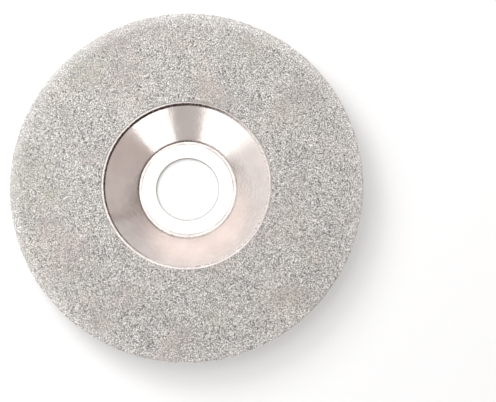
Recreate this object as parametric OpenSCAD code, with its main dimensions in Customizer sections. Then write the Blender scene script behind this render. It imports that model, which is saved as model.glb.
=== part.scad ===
// Dished diamond grinding wheel: a pressed steel plate, plated with nickel, whose ring
// carries a single layer of diamonds held by a thicker coat of nickel.
// The wheel lies on its hub, with the diamonds facing up. Z runs along the bore.

/* [Wheel] */
// Outside diameter, over the diamonds on the rim
wheel_d = 125; // [115:1:150]
// Diameter of the bore
bore_d = 22.23; // [16:0.01:25.4]
// Thickness of the plate with its plating
plate_t = 0.8; // [0.6:0.05:1.5]

/* [Dish] */
// Depth of the dish, from the ring down to the hub
dish_depth = 10; // [6:0.5:14]
// Diameter at which the hub's face and the cone would meet without their bend
hub_d = 35; // [33:0.2:38]
// Slope of the cone, measured from the hub's face
cone_angle = 41; // [30:1:50]
// Bend radius inside the dish, between the hub and the cone
hub_bend_r = 0.9; // [0.5:0.1:2.5]
// Bend radius behind the lip, between the cone and the ring
lip_bend_r = 1.2; // [0.3:0.1:1.5]
// Radius on the plate's edges, at the bore and at the rim
edge_r = 0.15; // [0.12:0.01:0.2]

/* [Coating] */
// Thickness of the nickel plating all over the plate
plating_t = 0.05; // [0.04:0.01:0.1]
// Thickness of the nickel that holds the diamonds
bond_t = 0.2; // [0.1:0.01:0.25]
// Height that the diamonds stand above their bond
grit_h = 0.25; // [0.1:0.01:0.3]
// Width of the flat strip left bare between the lip and the diamonds
bare_lip_w = 0.2; // [0.1:0.05:2]
// Width of the strip left bare at the back of the rim
bare_rim_w = 0.2; // [0.2:0.01:0.3]

/* [Hidden] */
$fn = 180;

bore_r = bore_d / 2;
plated_r = wheel_d / 2 - bond_t - grit_h;
face_z = dish_depth + plate_t;

// The two bends, each about a centre of its own.
hub_back_r = hub_bend_r + plate_t;
hub_centre = [hub_d / 2 - hub_bend_r * tan(cone_angle / 2), hub_back_r];
cone_length = (dish_depth - (lip_bend_r + hub_back_r) * (1 - cos(cone_angle))) / sin(cone_angle);
cone_run = cone_length * [cos(cone_angle), sin(cone_angle)];
lip_centre = hub_centre + (hub_back_r + lip_bend_r) * [sin(cone_angle), -cos(cone_angle)] + cone_run;
ring_r = lip_centre[0] + bare_lip_w;
bend_steps = 10;
edge_steps = 3;

// Points of an arc about a centre, from angle a0 to angle a1.
function arc(centre, r, a0, a1, steps) = [
    for (i = [0:steps])
        let (a = a0 + (a1 - a0) * i / steps)
        centre + r * [cos(a), sin(a)]
];

// The same points from last to first.
function backwards(points) = [for (i = [len(points) - 1:-1:0]) points[i]];

// Outline of the rim, from its bare strip up and round to the ring's face, grown by grow.
function rim_line(grow) = concat(
    [[plated_r + grow, dish_depth + bare_rim_w]],
    arc([plated_r - edge_r, face_z - edge_r], edge_r + grow, 0, 90, edge_steps)
);

// Half cross-section of the dished plate, with a skin of thickness skin taken off all round:
// along the back from the bore to the rim, then along the face to the bore again.
module plate_section(skin) {
    corner = edge_r - skin;
    bore_x = bore_r + edge_r;
    rim_x = plated_r - edge_r;
    polygon(concat(
        arc([bore_x, edge_r], corner, 180, 270, edge_steps),
        arc(hub_centre, hub_back_r - skin, 270, 270 + cone_angle, bend_steps),
        arc(lip_centre, lip_bend_r + skin, 90 + cone_angle, 90, bend_steps),
        arc([rim_x, dish_depth + edge_r], corner, 270, 360, edge_steps),
        arc([rim_x, face_z - edge_r], corner, 0, 90, edge_steps),
        arc(lip_centre, lip_bend_r + plate_t - skin, 90, 90 + cone_angle, bend_steps),
        arc(hub_centre, hub_bend_r + skin, 270 + cone_angle, 270, bend_steps),
        arc([bore_x, plate_t - edge_r], corner, 90, 180, edge_steps)
    ));
}

module steel_core() {
    color([0.45, 0.46, 0.48]) rotate_extrude() plate_section(plating_t);
}

module nickel_plating() {
    color([0.84, 0.82, 0.77]) difference() {
        rotate_extrude() plate_section(0);
        rotate_extrude() plate_section(plating_t);
    }
}

module nickel_bond() {
    color([0.70, 0.68, 0.66]) rotate_extrude() polygon(concat(
        rim_line(bond_t),
        [[ring_r, face_z + bond_t], [ring_r, face_z]],
        backwards(rim_line(0))
    ));
}

module face_diamonds() {
    color([0.77, 0.75, 0.72]) rotate_extrude()
        translate([ring_r, face_z + bond_t]) square([plated_r - edge_r - ring_r, grit_h]);
}

module rim_diamonds() {
    color([0.66, 0.64, 0.61]) rotate_extrude() polygon(concat(
        rim_line(bond_t + grit_h),
        backwards(rim_line(bond_t))
    ));
}

steel_core();
nickel_plating();
nickel_bond();
face_diamonds();
rim_diamonds();
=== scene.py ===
import math

import bmesh
import bpy
import numpy as np
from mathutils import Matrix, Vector


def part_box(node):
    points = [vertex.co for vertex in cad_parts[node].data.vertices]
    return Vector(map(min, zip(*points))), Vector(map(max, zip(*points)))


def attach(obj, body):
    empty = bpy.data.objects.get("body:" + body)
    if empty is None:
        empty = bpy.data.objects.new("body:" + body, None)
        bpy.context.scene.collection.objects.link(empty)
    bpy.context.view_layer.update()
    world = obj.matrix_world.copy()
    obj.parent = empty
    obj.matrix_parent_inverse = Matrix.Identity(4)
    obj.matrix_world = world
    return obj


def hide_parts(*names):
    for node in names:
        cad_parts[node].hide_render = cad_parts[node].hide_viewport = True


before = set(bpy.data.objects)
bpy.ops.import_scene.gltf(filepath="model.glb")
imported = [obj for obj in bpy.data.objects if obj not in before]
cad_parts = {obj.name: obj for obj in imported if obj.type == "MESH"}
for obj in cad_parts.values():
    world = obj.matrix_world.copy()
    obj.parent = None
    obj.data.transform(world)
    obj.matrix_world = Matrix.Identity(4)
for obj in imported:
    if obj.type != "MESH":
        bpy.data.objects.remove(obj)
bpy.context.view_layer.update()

MM = 0.001
SEED = 41
rng = np.random.default_rng(SEED)

# Two points of an outline nearer than this are one point.
SAME_SPOT = 0.004 * MM
# Two heights nearer than this are the same height.
SAME_HEIGHT = 0.001 * MM

# What the frame says of the wheel: heights, and radii from its axis.
FACE_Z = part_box("nickel_plating")[1][2]  # the plated ring
BOND_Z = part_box("face_diamonds")[0][2]  # the nickel between the diamonds
TOP_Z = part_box("face_diamonds")[1][2]  # the diamonds' tips
BARE_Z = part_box("rim_diamonds")[0][2]  # the diamonds' lower edge on the rim
PLATED_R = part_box("nickel_plating")[1][0]
BONDED_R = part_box("nickel_bond")[1][0]
WHEEL_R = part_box("rim_diamonds")[1][0]
FACE_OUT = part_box("face_diamonds")[1][0]  # where the ring's flat ends and the rim's round starts


# ---------------------------------------------------------------- camera

VIEW_TILT = math.radians(8.2)  # between the camera's axis and the wheel's
VIEW_DISTANCE = 8.33 * WHEEL_R  # from the camera to the wheel's face, along the camera's axis
AIM_RIGHT = 0.3475 * WHEEL_R  # the middle of the picture, right of the wheel's centre
AIM_BELOW = 0.0916 * WHEEL_R  # and below it
LENS_MM = 107.3


def make_camera():
    data = bpy.data.cameras.new("camera")
    data.lens = LENS_MM
    data.clip_start = 0.01
    data.clip_end = 20
    camera = bpy.data.objects.new("camera", data)
    bpy.context.scene.collection.objects.link(camera)
    up = Vector((0, math.cos(VIEW_TILT), math.sin(VIEW_TILT)))
    back = Vector((0, -math.sin(VIEW_TILT), math.cos(VIEW_TILT)))
    aim = Vector((AIM_RIGHT, 0, TOP_Z)) - AIM_BELOW * up
    camera.location = aim + VIEW_DISTANCE * back
    camera.rotation_euler = (VIEW_TILT, 0, 0)
    bpy.context.scene.camera = camera


make_camera()


# ---------------------------------------------------------------- mesh tools


def section(node):
    """The outlines that the half plane y = 0, x > 0 cuts out of a CAD node, as arrays of (r, z)."""
    mesh = bmesh.new()
    mesh.from_mesh(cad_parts[node].data)
    bmesh.ops.remove_doubles(mesh, verts=mesh.verts, dist=1e-7)
    whole = mesh.verts[:] + mesh.edges[:] + mesh.faces[:]
    cut = bmesh.ops.bisect_plane(mesh, geom=whole, plane_co=(0, 0, 0), plane_no=(0, 1, 0))
    beside = {}
    for edge in cut["geom_cut"]:
        if isinstance(edge, bmesh.types.BMEdge) and edge.verts[0].co.x > 0:
            for vert in edge.verts:
                beside.setdefault(vert, []).append(edge.other_vert(vert))
    outlines = []
    left = set(beside)
    while left:
        here = min(left, key=lambda v: (v.co.x, v.co.z))
        points = []
        while here is not None:
            left.discard(here)
            spot = np.array((here.co.x, here.co.z))
            if not points or np.linalg.norm(spot - points[-1]) > SAME_SPOT:
                points.append(spot)
            here = next((v for v in beside[here] if v in left), None)
        if np.linalg.norm(points[0] - points[-1]) < SAME_SPOT:
            points.pop()
        points = np.array(points)
        after = np.roll(points, -1, axis=0)
        turn = np.sum(points[:, 0] * after[:, 1] - after[:, 0] * points[:, 1])
        outlines.append(points if turn > 0 else points[::-1])
    mesh.free()
    return outlines


def refined(outline, step, brim=0.12 * MM):
    """outline with points added on its long stretches: one a brim from each end, and one every step."""
    points = []
    for a, b in zip(outline, np.roll(outline, -1, axis=0)):
        length = np.linalg.norm(b - a)
        points.append(a)
        if length > 4 * brim:
            count = max(1, round((length - 2 * brim) / step))
            along = brim + (length - 2 * brim) * np.arange(count + 1) / count
            points.extend(a + (b - a) * s / length for s in along)
    return np.array(points)


def turned(outline, turns, shift=None):
    """Vertices and faces of an outline turned round Z. shift(r, z, angle) moves each by its (dr, dz)."""
    angle = 2 * math.pi * np.arange(turns) / turns
    r = np.repeat(outline[:, 0][None], turns, 0)
    z = np.repeat(outline[:, 1][None], turns, 0)
    a = np.repeat(angle[:, None], len(outline), 1)
    if shift is not None:
        dr, dz = shift(r, z, a)
        r, z = r + dr, z + dz
    verts = np.stack([r * np.cos(a), r * np.sin(a), z], -1).reshape(-1, 3)
    i, j = np.meshgrid(np.arange(turns), np.arange(len(outline)), indexing="ij")
    i2, j2 = (i + 1) % turns * len(outline), (j + 1) % len(outline)
    i = i * len(outline)
    faces = np.stack([i + j, i2 + j, i2 + j2, i + j2], -1).reshape(-1, 4)
    return verts, faces


def joined(parts):
    """Several (verts, faces) as one."""
    verts, faces, base = [], [], 0
    for v, f in parts:
        verts.append(v)
        faces.append(f + base)
        base += len(v)
    return np.concatenate(verts), np.concatenate(faces)


def add_piece(name, verts, faces, slot, node):
    """A piece from arrays of vertices and of faces that all have the same number of corners."""
    mesh = bpy.data.meshes.new(name)
    mesh.vertices.add(len(verts))
    mesh.vertices.foreach_set("co", verts.astype(np.float32).ravel())
    mesh.loops.add(faces.size)
    mesh.loops.foreach_set("vertex_index", faces.astype(np.int32).ravel())
    mesh.polygons.add(len(faces))
    starts = np.arange(0, faces.size, faces.shape[1], dtype=np.int32)
    mesh.polygons.foreach_set("loop_start", starts)
    mesh.update(calc_edges=True)
    mesh.validate()
    piece = bpy.data.objects.new(name, mesh)
    bpy.context.scene.collection.objects.link(piece)
    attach(piece, "root")
    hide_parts(node)
    return piece


def smooth(piece, angle=40):
    piece.data.shade_smooth()
    piece.data.set_sharp_from_angle(angle=math.radians(angle))


def waves(count, lowest, highest):
    """A smooth random function of an angle and of a second number, about -1 to 1."""
    turns = rng.integers(lowest, highest + 1, count)
    drift = rng.uniform(-1, 1, count)
    phase = rng.uniform(0, 2 * math.pi, count)

    def wave(angle, other=0.0):
        total = 0
        for n, d, p in zip(turns, drift, phase):
            total = total + np.cos(n * angle + d * other + p)
        return total / math.sqrt(count)

    return wave


def bump_between(x, low, high):
    """0 outside low to high, and a smooth hump up to 1 inside."""
    t = np.clip((x - low) / (high - low), 0, 1)
    return np.sin(math.pi * t) ** 2


# ---------------------------------------------------------------- plate and coat

# How finely each is cut, round the wheel and along its outline.
SHELL_TURNS = 480
INSIDE_TURNS = 180
SHELL_STEP = 1.2 * MM
COAT_TURNS = 540
COAT_STEP = 0.45 * MM

WAVE_HEIGHT = 0.033 * MM  # less than the plating's thickness, so that the core stays under it
LUMP_HEIGHT = 0.02 * MM  # of the coat
FRAY_WIDTH = 0.5 * MM  # how far into the coat its inner edge is uneven
FRAY = 0.05 * MM  # and about how far that edge wanders
FRAY_BACK = 0.06 * MM  # how far the coat's upper edge stands back from its foot
FRAY_LIMIT = 0.12 * MM  # how far the coat may spread over the bare lip


def dish_radii():
    """Where the bore ends, the hub's flat ends, the cone starts and ends, and the plate's flat starts."""
    outline = min(section("nickel_plating"), key=lambda o: o[:, 0].min())
    outline = outline[outline[:, 0] < 0.9 * PLATED_R]
    r, z = outline.T
    run, rise = np.diff(outline, axis=0).T
    # The outline comes back along the face, inward and down. The cone is its longest sloping stretch.
    length = np.where(run < 0, np.hypot(run, rise), 0)
    slope = np.arctan2(rise, run)
    sloping = (slope < -0.6 * math.pi) & (length > 0.05 * MM)
    longest = np.argmax(np.where(sloping, length, 0))
    on_cone = np.flatnonzero(sloping & (abs(slope - slope[longest]) < math.radians(0.4)))
    cone_out, cone_in = r[on_cone].max(), r[on_cone + 1].min()
    hub_z = z[r < 0.75 * cone_in].max()
    hub_edge = r[(abs(z - hub_z) < SAME_HEIGHT) & (r < cone_in)].max()
    lip_edge = r[abs(z - FACE_Z) < SAME_HEIGHT].min()
    return r.min(), hub_edge, cone_in, cone_out, lip_edge


BORE_R, HUB_EDGE, CONE_IN, CONE_OUT, LIP_EDGE = dish_radii()


def make_shell():
    """The plating as a closed shell: its skin, and the inside that fits round the core."""
    outer, inner = sorted(section("nickel_plating"), key=lambda o: o[:, 0].min())
    long_wave = waves(7, 2, 9)
    short_wave = waves(9, 10, 34)

    def pressed(r, z, a):
        """The cone isn't quite round: the press left it faintly wavy."""
        on_cone = bump_between(r, HUB_EDGE, LIP_EDGE)
        lift = long_wave(a, r / (3 * MM)) + 0.2 * short_wave(a, r / (2 * MM))
        return 0 * r, on_cone * WAVE_HEIGHT * np.tanh(0.9 * lift)

    skin = turned(refined(outer, SHELL_STEP), SHELL_TURNS, pressed)
    inside = turned(inner[::-1], INSIDE_TURNS)
    piece = add_piece("nickel_shell", *joined([skin, inside]), "plating", "nickel_plating")
    smooth(piece)
    return piece


def make_bond():
    """The coat of nickel that holds the grains."""
    outline = section("nickel_bond")[0]
    inner = outline[:, 0].min()
    ragged = waves(24, 30, 170)
    lumps = waves(30, 20, 170)

    def built_up(r, z, a):
        """Nickel builds up in lumps, and its inner edge runs unevenly along the lip."""
        raised = z > FACE_Z + 0.02 * MM
        edge = np.clip(1 - (r - inner) / FRAY_WIDTH, 0, 1)
        dr = edge * (FRAY * ragged(a) + FRAY_BACK * raised)
        inland = np.clip((r - inner) / (0.4 * MM), 0.2, 1) * (r < PLATED_R)
        dz = raised * inland * LUMP_HEIGHT * (lumps(a, r / (0.2 * MM)) - 1)
        return np.maximum(dr, -FRAY_LIMIT), dz

    shape = turned(refined(outline, COAT_STEP), COAT_TURNS, built_up)
    piece = add_piece("bond_coat", *shape, "bond", "nickel_bond")
    smooth(piece, 60)
    return piece


# ---------------------------------------------------------------- grains

GRAIN_R = 0.25 * MM
GRAIN_SPREAD = 0.18  # of the logarithm of their size
GRAIN_PITCH = 0.43 * MM  # from one grain to the next
LOWEST_TIP = 0.25  # of the grit's height, above the bond
GOLDEN = math.pi * (3 - math.sqrt(5))
EDGE_R = PLATED_R - FACE_OUT  # the round of the plate's edge, under the bond
BOND_ROUND = EDGE_R + BONDED_R - PLATED_R  # and of the bond's own
UPRIGHT = FACE_Z - EDGE_R - BARE_Z  # the rim's height under its round


def hull(points):
    """Corners and triangles of the convex hull of some points."""
    mesh = bmesh.new()
    for p in points:
        mesh.verts.new(p)
    done = bmesh.ops.convex_hull(mesh, input=mesh.verts)
    unused = [v for v in done["geom_interior"] + done["geom_unused"] if v.is_valid]
    bmesh.ops.delete(mesh, geom=list(set(unused)), context="VERTS")
    bmesh.ops.triangulate(mesh, faces=mesh.faces[:])
    bmesh.ops.recalc_face_normals(mesh, faces=mesh.faces[:])
    mesh.verts.index_update()
    corners = np.array([v.co[:] for v in mesh.verts])
    faces = np.array([[v.index for v in f.verts] for f in mesh.faces])
    mesh.free()
    return corners, faces


def blocky_shape():
    """A cube whose corners are cut back to the middles of its edges, each a little differently."""
    points = []
    for u in (-1, 1):
        for v in (-1, 1):
            for k in range(3):
                points.append(np.roll((u, v, 0), k) * rng.uniform(0.9, 1.1, 3))
    return hull(np.array(points) * 0.78 * rng.uniform(0.85, 1.1, 3))


def octahedral_shape():
    """An octahedron with uneven legs."""
    return hull([s * np.eye(3)[k] * rng.uniform(0.75, 1.2) for k in range(3) for s in (-1, 1)])


def splinter_shape():
    """A crushed grain: the hull of a few points strewn over a ball, drawn out one way."""
    points = rng.normal(size=(7, 3))
    points /= np.linalg.norm(points, axis=1)[:, None]
    return hull(points * (1.3, 0.95, 0.9))


def random_turns(count):
    """count random rotation matrices."""
    q = rng.normal(size=(count, 4))
    w, x, y, z = (q / np.linalg.norm(q, axis=1)[:, None]).T
    rows = [
        [1 - 2 * (y * y + z * z), 2 * (x * y - w * z), 2 * (x * z + w * y)],
        [2 * (x * y + w * z), 1 - 2 * (x * x + z * z), 2 * (y * z - w * x)],
        [2 * (x * z - w * y), 2 * (y * z + w * x), 1 - 2 * (x * x + y * y)],
    ]
    return np.array(rows).transpose(2, 0, 1)


def strewn(spots, shapes, settle):
    """A randomly turned grain at each spot, each one of the shapes. settle(verts, spots) places them."""
    parts = []
    kind = rng.integers(len(shapes), size=len(spots))
    for k, (corners, faces) in enumerate(shapes):
        mine = spots[kind == k]
        size = GRAIN_R * np.exp(rng.normal(0, GRAIN_SPREAD, len(mine)))
        verts = np.einsum("nij,kj->nki", random_turns(len(mine)), corners) * size[:, None, None]
        verts = settle(verts, mine)
        base = len(corners) * np.arange(len(mine))
        parts.append((verts.reshape(-1, 3), (faces[None] + base[:, None, None]).reshape(-1, 3)))
    return joined(parts)


def squeezed(low, high, foot, tip):
    """How much to flatten grains that reach from low to high so that they fit between foot and tip."""
    return np.minimum(1, (tip - foot) / (high - low))


def face_spots(inner, outer):
    """Spots spread evenly over a ring in a sunflower's spiral, each then knocked off its place."""
    cell = GRAIN_PITCH**2 / math.pi
    n = np.arange(math.ceil(inner**2 / cell), math.floor(outer**2 / cell))
    r = np.sqrt(n * cell)
    a = n * GOLDEN
    spots = np.stack([r * np.cos(a), r * np.sin(a)], 1)
    return spots + rng.uniform(-0.45, 0.45, spots.shape) * GRAIN_PITCH


def settle_on_face(verts, spots):
    """Stands each grain on the plate, its tip somewhere between the bond and the CAD's top."""
    low, high = verts[:, :, 2].min(1), verts[:, :, 2].max(1)
    tip = BOND_Z + (TOP_Z - BOND_Z) * rng.uniform(LOWEST_TIP, 1.0, len(verts))
    flat = squeezed(low, high, FACE_Z, tip)
    x = verts[:, :, 0] + spots[:, None, 0]
    y = verts[:, :, 1] + spots[:, None, 1]
    z = (verts[:, :, 2] - high[:, None]) * flat[:, None] + tip[:, None]
    return np.stack([x, y, z], -1)


def rim_spots():
    """Spots along the rim, as (angle round the wheel, length along the rim's outline from its foot)."""
    length = UPRIGHT + BOND_ROUND * math.pi / 2
    rows = max(2, round(length / GRAIN_PITCH))
    count = round(2 * math.pi * WHEEL_R / GRAIN_PITCH)
    angle, row = np.meshgrid(np.arange(count) / count, (np.arange(rows) + 0.5) / rows)
    spots = np.stack([angle.ravel() * 2 * math.pi, row.ravel() * length], 1)
    knock = GRAIN_PITCH * np.array((1 / WHEEL_R, 1))
    return spots + rng.uniform(-0.4, 0.4, spots.shape) * knock


def settle_on_rim(verts, spots):
    """Lays each grain against the rim, its tip outward."""
    bend = np.clip((spots[:, 1] - UPRIGHT) / BOND_ROUND, 0, math.pi / 2)
    out_r, out_z = np.cos(bend), np.sin(bend)
    foot_r = PLATED_R - EDGE_R + EDGE_R * out_r
    foot_z = np.where(bend > 0, FACE_Z - EDGE_R, BARE_Z + spots[:, 1]) + EDGE_R * out_z
    low, high = verts[:, :, 0].min(1), verts[:, :, 0].max(1)
    bond, grit = BONDED_R - PLATED_R, WHEEL_R - BONDED_R
    tip = bond + grit * rng.uniform(LOWEST_TIP, 1.0, len(verts))
    flat = squeezed(low, high, 0, tip)
    out = (verts[:, :, 0] - high[:, None]) * flat[:, None] + tip[:, None]
    across = verts[:, :, 2]
    r = foot_r[:, None] + out * out_r[:, None] - across * out_z[:, None]
    z = foot_z[:, None] + out * out_z[:, None] + across * out_r[:, None]
    angle = spots[:, 0, None] + verts[:, :, 1] / WHEEL_R
    r = np.minimum(r, WHEEL_R)
    z = np.clip(z, BARE_Z, TOP_Z)
    return np.stack([r * np.cos(angle), r * np.sin(angle), z], -1)


# The kinds of grains on the face: the piece's name, what makes a shape, how many shapes, the share.
FACE_GRAINS = [
    ("blocky_grains", blocky_shape, 12, 0.18),
    ("pointed_grains", octahedral_shape, 12, 0.44),
    ("broken_grains", splinter_shape, 24, 0.38),
]


def make_face_grains():
    inner = section("face_diamonds")[0][:, 0].min()
    spots = face_spots(inner + 0.8 * GRAIN_R, FACE_OUT)
    kind = rng.choice(len(FACE_GRAINS), size=len(spots), p=[share for _, _, _, share in FACE_GRAINS])
    pieces = []
    for k, (name, make_shape, variety, _) in enumerate(FACE_GRAINS):
        shapes = [make_shape() for _ in range(variety)]
        grains = strewn(spots[kind == k], shapes, settle_on_face)
        pieces.append(add_piece(name, *grains, "face_grit", "face_diamonds"))
    return pieces


def make_rim_grains():
    shapes = [octahedral_shape() for _ in range(8)] + [splinter_shape() for _ in range(16)]
    grains = strewn(rim_spots(), shapes, settle_on_rim)
    return add_piece("rim_grains", *grains, "rim_grit", "rim_diamonds")


# ---------------------------------------------------------------- materials


class Nodes:
    """Adds shader nodes to a new material, each fed with numbers, colours or other nodes' outputs."""

    def __init__(self, name):
        self.material = bpy.data.materials.new(name)
        self.material.use_nodes = True
        self.tree = self.material.node_tree
        self.shader = self.tree.nodes["Principled BSDF"]
        self.place = self.add("ShaderNodeTexCoord").outputs["Object"]

    def add(self, kind, inputs=(), **settings):
        node = self.tree.nodes.new(kind)
        for key, value in settings.items():
            setattr(node, key, value)
        for socket, value in dict(inputs).items():
            self.feed(node.inputs[socket], value)
        return node

    def feed(self, socket, value):
        if isinstance(value, bpy.types.NodeSocket):
            self.tree.links.new(value, socket)
        elif socket.type == "RGBA":
            socket.default_value = (*value, 1)
        else:
            socket.default_value = value

    def noise(self, size, detail=2.0, where=None, offset=0.0):
        """Noise of 0 to 1 whose blobs are about size metres across."""
        inputs = {"Vector": where or self.place, "W": offset, "Scale": 1 / size, "Detail": detail}
        return self.add("ShaderNodeTexNoise", inputs, noise_dimensions="4D").outputs["Fac"]

    def ramp(self, value, low, high, to_low=0.0, to_high=1.0, kind="SMOOTHSTEP"):
        """value, between low and high, taken to between to_low and to_high."""
        inputs = {"Value": value, "From Min": low, "From Max": high, "To Min": to_low, "To Max": to_high}
        return self.add("ShaderNodeMapRange", inputs, interpolation_type=kind).outputs["Result"]

    def math(self, operation, a, b=0.0, c=0.0):
        return self.add("ShaderNodeMath", {0: a, 1: b, 2: c}, operation=operation).outputs[0]

    def mix(self, share, a, b, blend="MIX"):
        inputs = {"Factor": share, 6: a, 7: b}
        return self.add("ShaderNodeMix", inputs, data_type="RGBA", blend_type=blend).outputs[2]

    def bump(self, height, depth, under=None):
        """Bump from a height of 0 to 1 that stands for depth metres."""
        inputs = {"Strength": 1.0, "Distance": depth, "Height": height}
        if under is not None:
            inputs["Normal"] = under
        return self.add("ShaderNodeBump", inputs).outputs["Normal"]

    def across(self):
        """Distance from the wheel's axis, height, and angle round it."""
        parts = self.add("ShaderNodeSeparateXYZ", {0: self.place}).outputs
        x, y, z = parts["X"], parts["Y"], parts["Z"]
        r = self.math("SQRT", self.math("ADD", self.math("MULTIPLY", x, x), self.math("MULTIPLY", y, y)))
        return r, z, self.math("ARCTAN2", y, x)

    def band(self, r, middle, far, close):
        """1 within close millimetres of the radius middle, and 0 from far millimetres on."""
        return self.ramp(self.math("ABSOLUTE", self.math("SUBTRACT", r, middle)), far * MM, close * MM)

    def facing(self, angle, heading):
        """1 on the side of the wheel that lies towards a heading in degrees, and -1 on the other."""
        return self.math("COSINE", self.math("SUBTRACT", angle, math.radians(heading)))

    def pale_rim_and_painted_light(self):
        """How much paler the coat and the grit are: more towards the rim, and most on the upper left, the
        key light's side, where the extra paleness is painted light.
        """
        r, _, angle = self.across()
        # Painted light: the paleness is strongest on the side of the wheel towards the key light.
        side = self.ramp(self.facing(angle, 120), -1, 1, 0.12, 0.42, kind="LINEAR")
        return self.math("MULTIPLY", self.ramp(r, WHEEL_R - 5.5 * MM, WHEEL_R - 0.5 * MM), side)

    def finish(self, color, roughness, normal, metallic):
        self.feed(self.shader.inputs["Base Color"], color)
        self.feed(self.shader.inputs["Roughness"], roughness)
        self.feed(self.shader.inputs["Normal"], normal)
        self.feed(self.shader.inputs["Metallic"], metallic)
        return self.material


def clean_plate(n, r, front, clouds):
    """Nickel with water marks: bright in the dish, duller on the hub, satin and cloudy on the back."""
    marks = n.noise(9 * MM, 4)
    bright = n.mix(n.ramp(marks, 0.35, 0.7), (0.68, 0.625, 0.6), (0.64, 0.58, 0.555))
    bright = n.mix(n.ramp(r, HUB_EDGE, HUB_EDGE - 0.3 * MM), bright, (0.50, 0.475, 0.455))
    satin = n.mix(n.ramp(marks, 0.3, 0.7), (0.66, 0.635, 0.575), (0.60, 0.575, 0.52))
    satin = n.mix(n.ramp(clouds, 0.4, 0.7, 0, 0.35), satin, (0.53, 0.51, 0.465))
    return n.mix(front, satin, bright)


def plate_wear_and_shade(n, r, angle, front, worn, hub_bend):
    """Pits along both bends, painted shade in two speckled lines either side of the hub's bend, a grey
    ring round the bore's edge on the front, and painted shade on the lip's side towards heading 30.
    """
    lip_bend = n.band(r, (CONE_OUT + LIP_EDGE) / 2, 0.65, 0.2)
    # Two lines either side of the hub's bend, where shade is painted in speckled and patchy.
    creases = n.math("MAXIMUM", n.band(r, HUB_EDGE - 0.7 * MM, 0.35, 0.15), n.band(r, CONE_IN, 0.3, 0.1))
    specks = n.ramp(n.noise(0.35 * MM, 2, offset=7.0), 0.48, 0.62)
    pits = n.math("MULTIPLY", specks, n.math("MAXIMUM", lip_bend, n.math("MULTIPLY", hub_bend, 0.6)))
    painted_crease_shade = n.math("MULTIPLY", creases, n.math("MULTIPLY", n.ramp(specks, 0, 1, 0.5, 1.0), worn))
    # A grey ring round the bore's edge, on the front only.
    bore_ring = n.math("MULTIPLY", n.band(r, BORE_R, 0.45, 0.25), front)
    # Painted shade: the lip is darker on the side of the wheel towards heading 30.
    painted_lip_shade = n.math("MULTIPLY", n.band(r, LIP_EDGE, 0.5, 0.3), n.ramp(n.facing(angle, 30), 0.1, 0.6))
    return pits, painted_crease_shade, bore_ring, painted_lip_shade


def plate_relief(n, r, z, angle, worn, pits):
    """The plating's grain, marks of the drawing die round the cone, and hairline scratches on the hub."""
    spread = {0: n.math("MULTIPLY", r, 14.0), 1: n.math("MULTIPLY", angle, 0.01), 2: z}
    drawn = n.add("ShaderNodeCombineXYZ", spread).outputs[0]
    rings = n.noise(3.0 * MM, 3, where=drawn)
    streak = n.add("ShaderNodeMapping", {"Vector": n.place, "Rotation": (0, 0, 0.6), "Scale": (1, 22, 1)})
    scratches = n.ramp(n.noise(1.6 * MM, 2, where=streak.outputs[0]), 0.62, 0.7)
    scratches = n.math("MULTIPLY", scratches, n.ramp(r, HUB_EDGE, HUB_EDGE - 2 * MM))
    normal = n.bump(n.noise(0.35 * MM, 1, offset=1.0), 0.02 * MM)
    normal = n.bump(n.math("MULTIPLY", n.noise(0.9 * MM, 2, offset=6.0), worn), 0.04 * MM, normal)
    normal = n.bump(rings, 0.0016 * MM, normal)
    normal = n.bump(scratches, 0.0006 * MM, normal)
    return n.bump(pits, 0.006 * MM, normal)


def nickel_plate():
    """The plating: bright and worn in the dish, with an even haze on the back."""
    n = Nodes("nickel_plate")
    r, z, angle = n.across()
    facing_up = n.add("ShaderNodeTexCoord").outputs["Normal"]
    front = n.ramp(n.add("ShaderNodeSeparateXYZ", {0: facing_up}).outputs["Z"], -0.1, 0.3)
    clouds = n.noise(2.2 * MM, 3, offset=3.0)
    worn = n.ramp(n.noise(8 * MM, 2, offset=5.0), 0.35, 0.6, 0.4, 1.0)
    hub_bend = n.band(r, (HUB_EDGE + CONE_IN) / 2, 0.7, 0.3)
    pits, painted_crease_shade, bore_ring, painted_lip_shade = plate_wear_and_shade(n, r, angle, front, worn, hub_bend)
    color = clean_plate(n, r, front, clouds)
    color = n.mix(n.math("MULTIPLY", pits, 0.6), color, (0.20, 0.14, 0.125))
    # Painted shade: dark speckled lines either side of the hub's bend.
    color = n.mix(n.math("MULTIPLY", painted_crease_shade, 0.85), color, (0.16, 0.12, 0.11))
    # The grey ring round the bore's edge.
    color = n.mix(n.math("MULTIPLY", bore_ring, 0.7), color, (0.28, 0.28, 0.27))
    # Painted shade on one side of the lip.
    color = n.mix(n.math("MULTIPLY", painted_lip_shade, 0.6), color, (0.30, 0.27, 0.26))
    # Smears and specks on the bright side, and haze on the back.
    rough_front = n.ramp(clouds, 0.3, 0.7, 0.14, 0.22)
    rough_back = n.ramp(clouds, 0.3, 0.7, 0.33, 0.45)
    rough = n.add("ShaderNodeMix", {"Factor": front, 2: rough_back, 3: rough_front}).outputs[0]
    rough = n.math("MULTIPLY_ADD", pits, 0.1, rough)
    rough = n.math("MULTIPLY_ADD", hub_bend, 0.1, rough)
    rough = n.math("ADD", rough, n.ramp(r, LIP_EDGE - 0.35 * MM, LIP_EDGE, 0, 0.2))
    return n.finish(color, rough, plate_relief(n, r, z, angle, worn, pits), 1.0)


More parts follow.
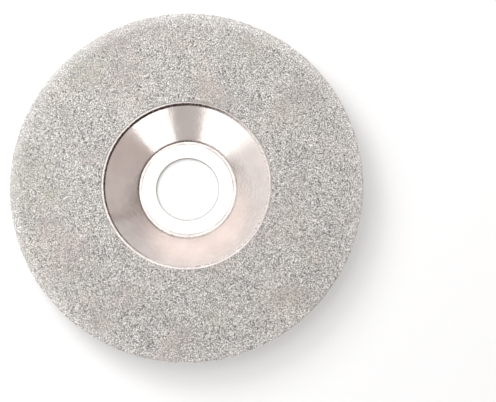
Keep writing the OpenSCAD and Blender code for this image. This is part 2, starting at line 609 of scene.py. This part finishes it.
def nickel_coat():
    """Matt, lumpy nickel between the grains."""
    n = Nodes("nickel_coat")
    lumps = n.noise(0.25 * MM, 3)
    patches = n.noise(14 * MM, 3, offset=2.0)
    color = n.mix(n.ramp(lumps, 0.3, 0.7), (0.22, 0.215, 0.21), (0.34, 0.333, 0.324))
    color = n.mix(n.ramp(patches, 0.45, 0.7, 0, 0.25), color, (0.55, 0.46, 0.41))
    # Paler towards the rim, with painted light on the key light's side.
    color = n.mix(n.pale_rim_and_painted_light(), color, (0.60, 0.585, 0.575))
    rough = n.ramp(lumps, 0.3, 0.7, 0.6, 0.45)
    normal = n.bump(lumps, 0.03 * MM)
    normal = n.bump(n.noise(0.07 * MM, 2, offset=4.0), 0.006 * MM, normal)
    return n.finish(color, rough, normal, 0.35)


GRAIN_IOR = 1.6  # under a diamond's, since the grains are too rough to glint like one
# From the darkest grain to the palest: the share of grains that are darker, and the colour.
GRAIN_SHADES = [
    (0.0, (0.07, 0.067, 0.063)),
    (0.1, (0.12, 0.116, 0.11)),
    (0.17, (0.66, 0.636, 0.605)),
    (0.5, (0.745, 0.719, 0.686)),
    (1.0, (0.79, 0.761, 0.73)),
]


def diamond_grit(name, offset):
    """Pale grains and a few smoky ones, some with a nickel skin, in faintly warm and olive patches."""
    n = Nodes(name)
    island = n.add("ShaderNodeNewGeometry").outputs["Random Per Island"]
    shade = n.add("ShaderNodeValToRGB", {"Fac": island})
    ramp = shade.color_ramp.elements
    while len(ramp) < len(GRAIN_SHADES):
        ramp.new(0.5)
    for stop, (place, tint) in zip(ramp, GRAIN_SHADES):
        stop.position = place
        stop.color = (*tint, 1)
    color = shade.outputs["Color"]
    patches = n.noise(16 * MM, 4, offset=2.0)
    color = n.mix(n.ramp(patches, 0.5, 0.68, 0, 0.5), color, (0.55, 0.47, 0.44))
    olive = n.noise(22 * MM, 4, offset=9.0)
    color = n.mix(n.ramp(olive, 0.55, 0.7, 0, 0.4), color, (0.52, 0.51, 0.40))
    # Paler towards the rim, with painted light on the key light's side.
    color = n.mix(n.pale_rim_and_painted_light(), color, (0.97, 0.95, 0.94))
    skin = n.math("FRACT", n.math("MULTIPLY", island, 37.0))
    metallic = n.ramp(skin, 0.4, 0.6, 0.0, 0.25)
    flaws = n.noise(0.12 * MM, 2, offset=offset)
    rough = n.ramp(flaws, 0.3, 0.7, 0.42, 0.6)
    normal = n.bump(flaws, 0.01 * MM)
    n.feed(n.shader.inputs["IOR"], GRAIN_IOR)
    return n.finish(color, rough, normal, metallic)


def core_steel():
    """Cold-rolled sheet, with its rolling marks. It is sealed under the plating."""
    n = Nodes("core_steel")
    rolled = n.add("ShaderNodeMapping", {"Vector": n.place, "Scale": (1, 30, 1)}).outputs[0]
    lines = n.noise(4 * MM, 4, where=rolled)
    color = n.mix(lines, (0.30, 0.305, 0.32), (0.42, 0.43, 0.45))
    rough = n.ramp(lines, 0.3, 0.7, 0.3, 0.5)
    return n.finish(color, rough, n.bump(lines, 0.003 * MM), 1.0)


# The floor glows faintly within GLOW_START metres of the axis, and more from GLOW_END on.
FLOOR_GLOW = 0.36
EDGE_GLOW = 0.65
GLOW_START = 0.08
GLOW_END = 0.5


def studio_floor():
    """Pale matt board, lit a little from below, and more towards its edge, which the lamps reach less."""
    n = Nodes("studio_floor")
    fibres = n.noise(1.2 * MM, 3)
    color = n.mix(fibres, (0.48, 0.48, 0.48), (0.5, 0.5, 0.5))
    glow = n.ramp(n.across()[0], GLOW_START, GLOW_END, FLOOR_GLOW, EDGE_GLOW)
    n.feed(n.shader.inputs["Emission Color"], (1, 1, 1))
    n.feed(n.shader.inputs["Emission Strength"], glow)
    return n.finish(color, 0.9, n.bump(fibres, 0.02 * MM), 0.0)


def white_paper():
    """Paper that glows as white as a picture can be."""
    n = Nodes("white_paper")
    n.feed(n.shader.inputs["Emission Color"], (1, 1, 1))
    n.feed(n.shader.inputs["Emission Strength"], 1.0)
    fibres = n.noise(20 * MM, 3)
    color = n.mix(fibres, (0.9, 0.9, 0.9), (0.95, 0.95, 0.95))
    return n.finish(color, 0.9, n.bump(fibres, 0.1 * MM), 0.0)


# ---------------------------------------------------------------- studio

FLOOR_R = 0.97  # it ends just short of the low softboxes
FLOOR_GAP = 0.1 * MM  # keeps the floor and the hub's back from flickering through one another
BACKDROP_R = 6
CEILING_Z = 1.1
LOW_DISTANCE = 1.0  # of the low softboxes from the axis
LOW_HEIGHT = 0.6


def softbox(name, place, aim, width, height, brightness, color=(1, 1, 1)):
    """A rectangular lamp. brightness is the radiance of its face, whatever its size."""
    data = bpy.data.lights.new(name, "AREA")
    data.shape = "RECTANGLE"
    data.size = width
    data.size_y = height
    data.energy = brightness * math.pi * width * height
    data.color = color
    lamp = bpy.data.objects.new(name, data)
    bpy.context.scene.collection.objects.link(lamp)
    lamp.location = place
    lamp.rotation_euler = (Vector(aim) - Vector(place)).to_track_quat("-Z", "Y").to_euler()
    lamp.visible_camera = False
    return lamp


def ceiling_softbox(name, low, high, brightness, color=(1, 1, 1)):
    """A softbox at the ceiling that faces down and reaches from low to high across the floor's plan."""
    x, y = (low[0] + high[0]) / 2, (low[1] + high[1]) / 2
    width, height = high[0] - low[0], high[1] - low[1]
    softbox(name, (x, y, CEILING_Z), (x, y, 0), width, height, brightness, color)


def low_softbox(name, start, end, brightness, color=(1, 1, 1)):
    """A softbox on the floor that fills the headings from start to end, in degrees from +X."""
    a = math.radians((start + end) / 2)
    width = 2 * LOW_DISTANCE * math.tan(math.radians(end - start) / 2)
    place = (LOW_DISTANCE * math.cos(a), LOW_DISTANCE * math.sin(a), LOW_HEIGHT / 2)
    softbox(name, place, (0, 0, LOW_HEIGHT / 2), width, LOW_HEIGHT, brightness, color)


def stage_piece(name, sheet, material):
    """A piece of the studio, made from a bmesh."""
    mesh = bpy.data.meshes.new(name)
    sheet.to_mesh(mesh)
    sheet.free()
    piece = bpy.data.objects.new(name, mesh)
    bpy.context.scene.collection.objects.link(piece)
    mesh.materials.append(material)
    return piece


def make_floor():
    sheet = bmesh.new()
    bmesh.ops.create_circle(sheet, cap_ends=True, segments=160, radius=FLOOR_R)
    floor = stage_piece("floor", sheet, studio_floor())
    floor.location.z = -FLOOR_GAP


def make_backdrop():
    """White all round, for views that look past the floor. It lights nothing and nothing mirrors it."""
    ball = bmesh.new()
    bmesh.ops.create_icosphere(ball, subdivisions=4, radius=BACKDROP_R)
    backdrop = stage_piece("backdrop", ball, white_paper())
    backdrop.visible_diffuse = False
    backdrop.visible_glossy = False
    backdrop.visible_transmission = False
    backdrop.visible_shadow = False


def make_lights():
    # Overhead, a bright softbox, two nearly as bright on its left, and dimmer ones beyond them.
    ceiling_softbox("overhead", (-0.31, 0.0), (0.2, 0.35), 2.6)
    ceiling_softbox("left_of_it", (-0.45, -0.15), (-0.31, 0.35), 2.4, (0.95, 1, 1))
    ceiling_softbox("left_corner", (-0.31, -0.15), (-0.24, 0.0), 2.4, (0.95, 1, 1))
    ceiling_softbox("right_of_it", (0.2, 0.05), (0.42, 0.35), 1.1)
    ceiling_softbox("left_canopy", (-2.0, -1.0), (-0.45, 0.35), 1.2)
    ceiling_softbox("back_canopy", (-2.0, 0.35), (0.5, 2.0), 1.2)
    # The key light stands at the upper left, with a fill above it. The bright metal mirrors neither.
    key = softbox("key", (-0.2, 0.22, 0.28), (0, 0, 0), 0.2, 0.2, 9.5)
    key.visible_glossy = False
    fill = softbox("fill", (-0.12, 0.12, 0.45), (0, 0, 0), 0.3, 0.3, 1.8)
    fill.visible_glossy = False
    # Round the wheel, low ones that the cone mirrors.
    low_softbox("front_right", -76, -43, 2.2)
    low_softbox("front", -108, -76, 0.67)
    low_softbox("front_left", -146, -108, 2.2)
    low_softbox("left_front", -154, -146, 1.6)
    low_softbox("left", 150, 206, 1.16)
    low_softbox("back", 78, 150, 1.16)
    low_softbox("back_near", 60, 78, 0.98)
    low_softbox("back_right", 37, 60, 0.8)
    low_softbox("right_gap", 32, 37, 0.42, (1, 0.9, 0.85))
    low_softbox("right_far", -2, 32, 0.74, (1, 0.95, 0.93))
    low_softbox("right_near", -42, -2, 0.69, (1, 0.93, 0.9))
    world = bpy.data.worlds.new("studio")
    world.use_nodes = True
    background = world.node_tree.nodes["Background"].inputs
    background["Color"].default_value = (1.0, 0.72, 0.66, 1)
    background["Strength"].default_value = 0.07
    bpy.context.scene.world = world
    bpy.context.scene.view_settings.view_transform = "Standard"


# ---------------------------------------------------------------- the wheel

shell = make_shell()
bond = make_bond()
grains = make_face_grains()
rim = make_rim_grains()

shell.data.materials.append(nickel_plate())
bond.data.materials.append(nickel_coat())
for k, piece in enumerate(grains):
    piece.data.materials.append(diamond_grit(piece.name + "_grit", 5.0 + k))
rim.data.materials.append(diamond_grit("rim_grit", 8.0))
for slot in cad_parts["steel_core"].material_slots:
    slot.material = core_steel()

make_floor()
make_backdrop()
make_lights()
